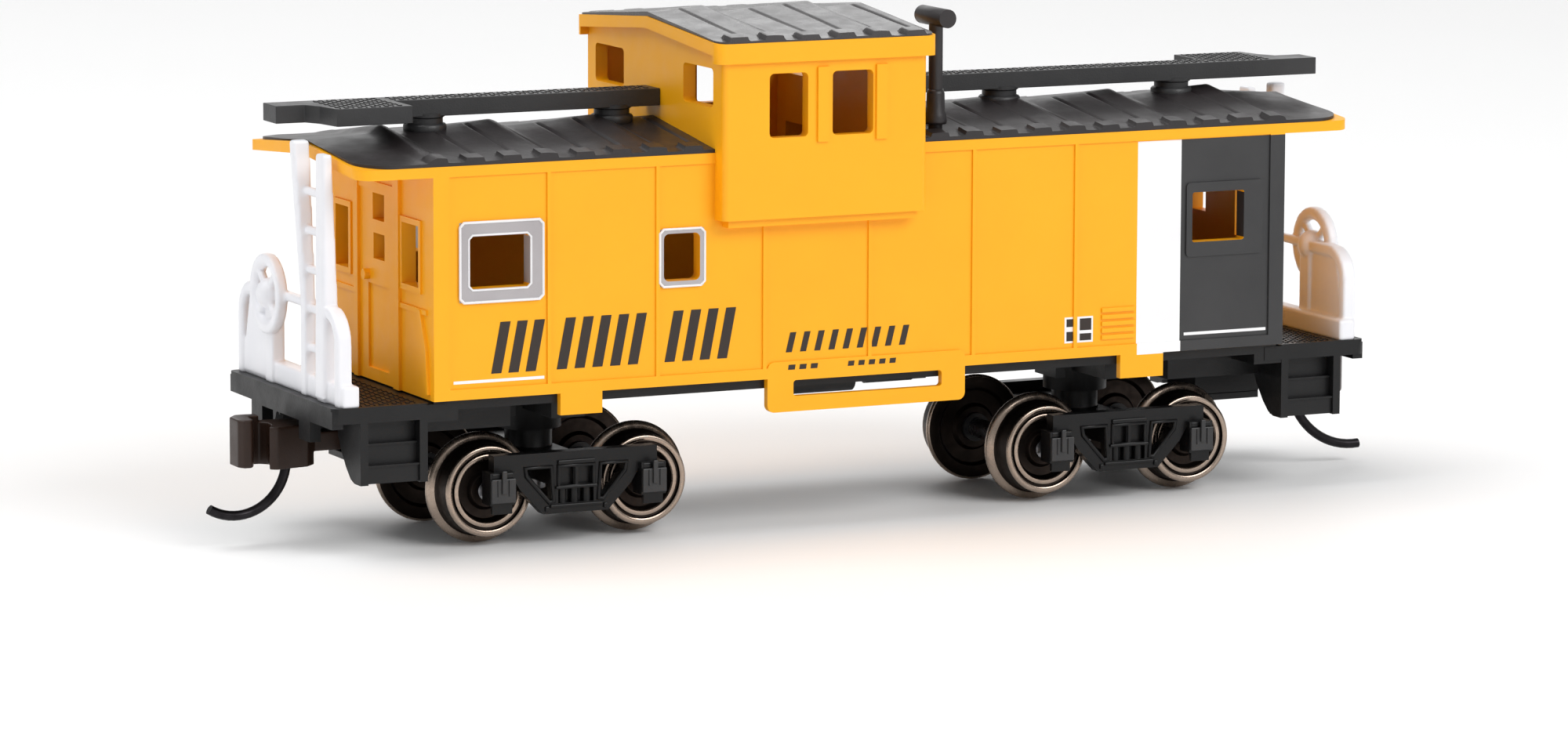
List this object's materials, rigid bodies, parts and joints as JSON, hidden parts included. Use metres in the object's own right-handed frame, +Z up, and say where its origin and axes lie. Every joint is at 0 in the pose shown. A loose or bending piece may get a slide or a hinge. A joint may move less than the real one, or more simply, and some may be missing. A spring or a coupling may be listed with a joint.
{
  "type": "model caboose",
  "caption": "Model railway caboose with a wide cupola, end platforms and roof walks, on swivelling trucks with rolling wheelsets and sprung knuckle couplers.",
  "frame": {"origin": "on the plane under the wheel flanges, below the middle of the car", "axes": "+X along the car towards its rear end, +Y across the car, +Z up"},
  "size_m": [0.0789, 0.0208, 0.0312],
  "materials": {
    "shell_plastic": "satin painted yellow-orange moulding",
    "roof_plastic": "satin black moulding",
    "underframe_plastic": "matt black moulding",
    "truck_plastic": "matt black moulding",
    "railing_plastic": "white painted moulding",
    "coupler_plastic": "dark brown moulding",
    "pin_steel": "blackened wire",
    "wheel_metal": "turned and browned metal",
    "axle_steel": "bright turned steel",
    "bush_plastic": "black insulating plastic",
    "ballast_steel": "sheared steel bar",
    "screw_steel": "plated steel",
    "spring_bronze": "spring bronze strip"
  },
  "bodies": {
    "car_body": {"body_shell": "shell_plastic", "cupola_roof": "roof_plastic", "underframe": "underframe_plastic", "ballast_weight": "ballast_steel", "smoke_jack": "roof_plastic", "roof_front": "roof_plastic", "running_board_front": "roof_plastic", "end_railing_front": "railing_plastic", "coupler_cover_front": "underframe_plastic", "coupler_spring_front": "spring_bronze", "kingpin_front": "screw_steel", "roof_rear": "roof_plastic", "running_board_rear": "roof_plastic", "end_railing_rear": "railing_plastic", "coupler_cover_rear": "underframe_plastic", "coupler_spring_rear": "spring_bronze", "kingpin_rear": "screw_steel"},
    "truck_front": {"truck_frame_front": "truck_plastic"},
    "coupler_front": {"coupler_front": "coupler_plastic", "trip_pin_front": "pin_steel"},
    "truck_rear": {"truck_frame_rear": "truck_plastic"},
    "coupler_rear": {"coupler_rear": "coupler_plastic", "trip_pin_rear": "pin_steel"},
    "wheelset_front_outer": {"axle_front_outer": "axle_steel", "wheel_left_front_outer": "wheel_metal", "wheel_right_front_outer": "wheel_metal", "axle_bush_front_outer": "bush_plastic"},
    "wheelset_front_inner": {"axle_front_inner": "axle_steel", "wheel_left_front_inner": "wheel_metal", "wheel_right_front_inner": "wheel_metal", "axle_bush_front_inner": "bush_plastic"},
    "wheelset_rear_outer": {"axle_rear_outer": "axle_steel", "wheel_left_rear_outer": "wheel_metal", "wheel_right_rear_outer": "wheel_metal", "axle_bush_rear_outer": "bush_plastic"},
    "wheelset_rear_inner": {"axle_rear_inner": "axle_steel", "wheel_left_rear_inner": "wheel_metal", "wheel_right_rear_inner": "wheel_metal", "axle_bush_rear_inner": "bush_plastic"}
  },
  "joints": [
    {"name": "truck_front_swivel", "type": "hinge", "parent": "car_body", "child": "truck_front", "pos_m": [-0.01872, 0, 0.0061], "axis": [0, 0, 1], "range_deg": [-10, 10]},
    {"name": "wheelset_front_outer_roll", "type": "hinge", "parent": "truck_front", "child": "wheelset_front_outer", "pos_m": [-0.02378, 0, 0.00335], "axis": [0, 1, 0], "continuous": true},
    {"name": "wheelset_front_inner_roll", "type": "hinge", "parent": "truck_front", "child": "wheelset_front_inner", "pos_m": [-0.01367, 0, 0.00335], "axis": [0, 1, 0], "continuous": true},
    {"name": "coupler_front_swing", "type": "hinge", "parent": "car_body", "child": "coupler_front", "pos_m": [-0.0284, 0, 0.0062], "axis": [0, 0, 1], "range_deg": [-12, 12], "stiffness_Nm_per_rad": 0.00002},
    {"name": "truck_rear_swivel", "type": "hinge", "parent": "car_body", "child": "truck_rear", "pos_m": [0.01872, 0, 0.0061], "axis": [0, 0, 1], "range_deg": [-10, 10]},
    {"name": "wheelset_rear_outer_roll", "type": "hinge", "parent": "truck_rear", "child": "wheelset_rear_outer", "pos_m": [0.02378, 0, 0.00335], "axis": [0, 1, 0], "continuous": true},
    {"name": "wheelset_rear_inner_roll", "type": "hinge", "parent": "truck_rear", "child": "wheelset_rear_inner", "pos_m": [0.01367, 0, 0.00335], "axis": [0, 1, 0], "continuous": true},
    {"name": "coupler_rear_swing", "type": "hinge", "parent": "car_body", "child": "coupler_rear", "pos_m": [0.0284, 0, 0.0062], "axis": [0, 0, 1], "range_deg": [-12, 12], "stiffness_Nm_per_rad": 0.00002}
  ]
}
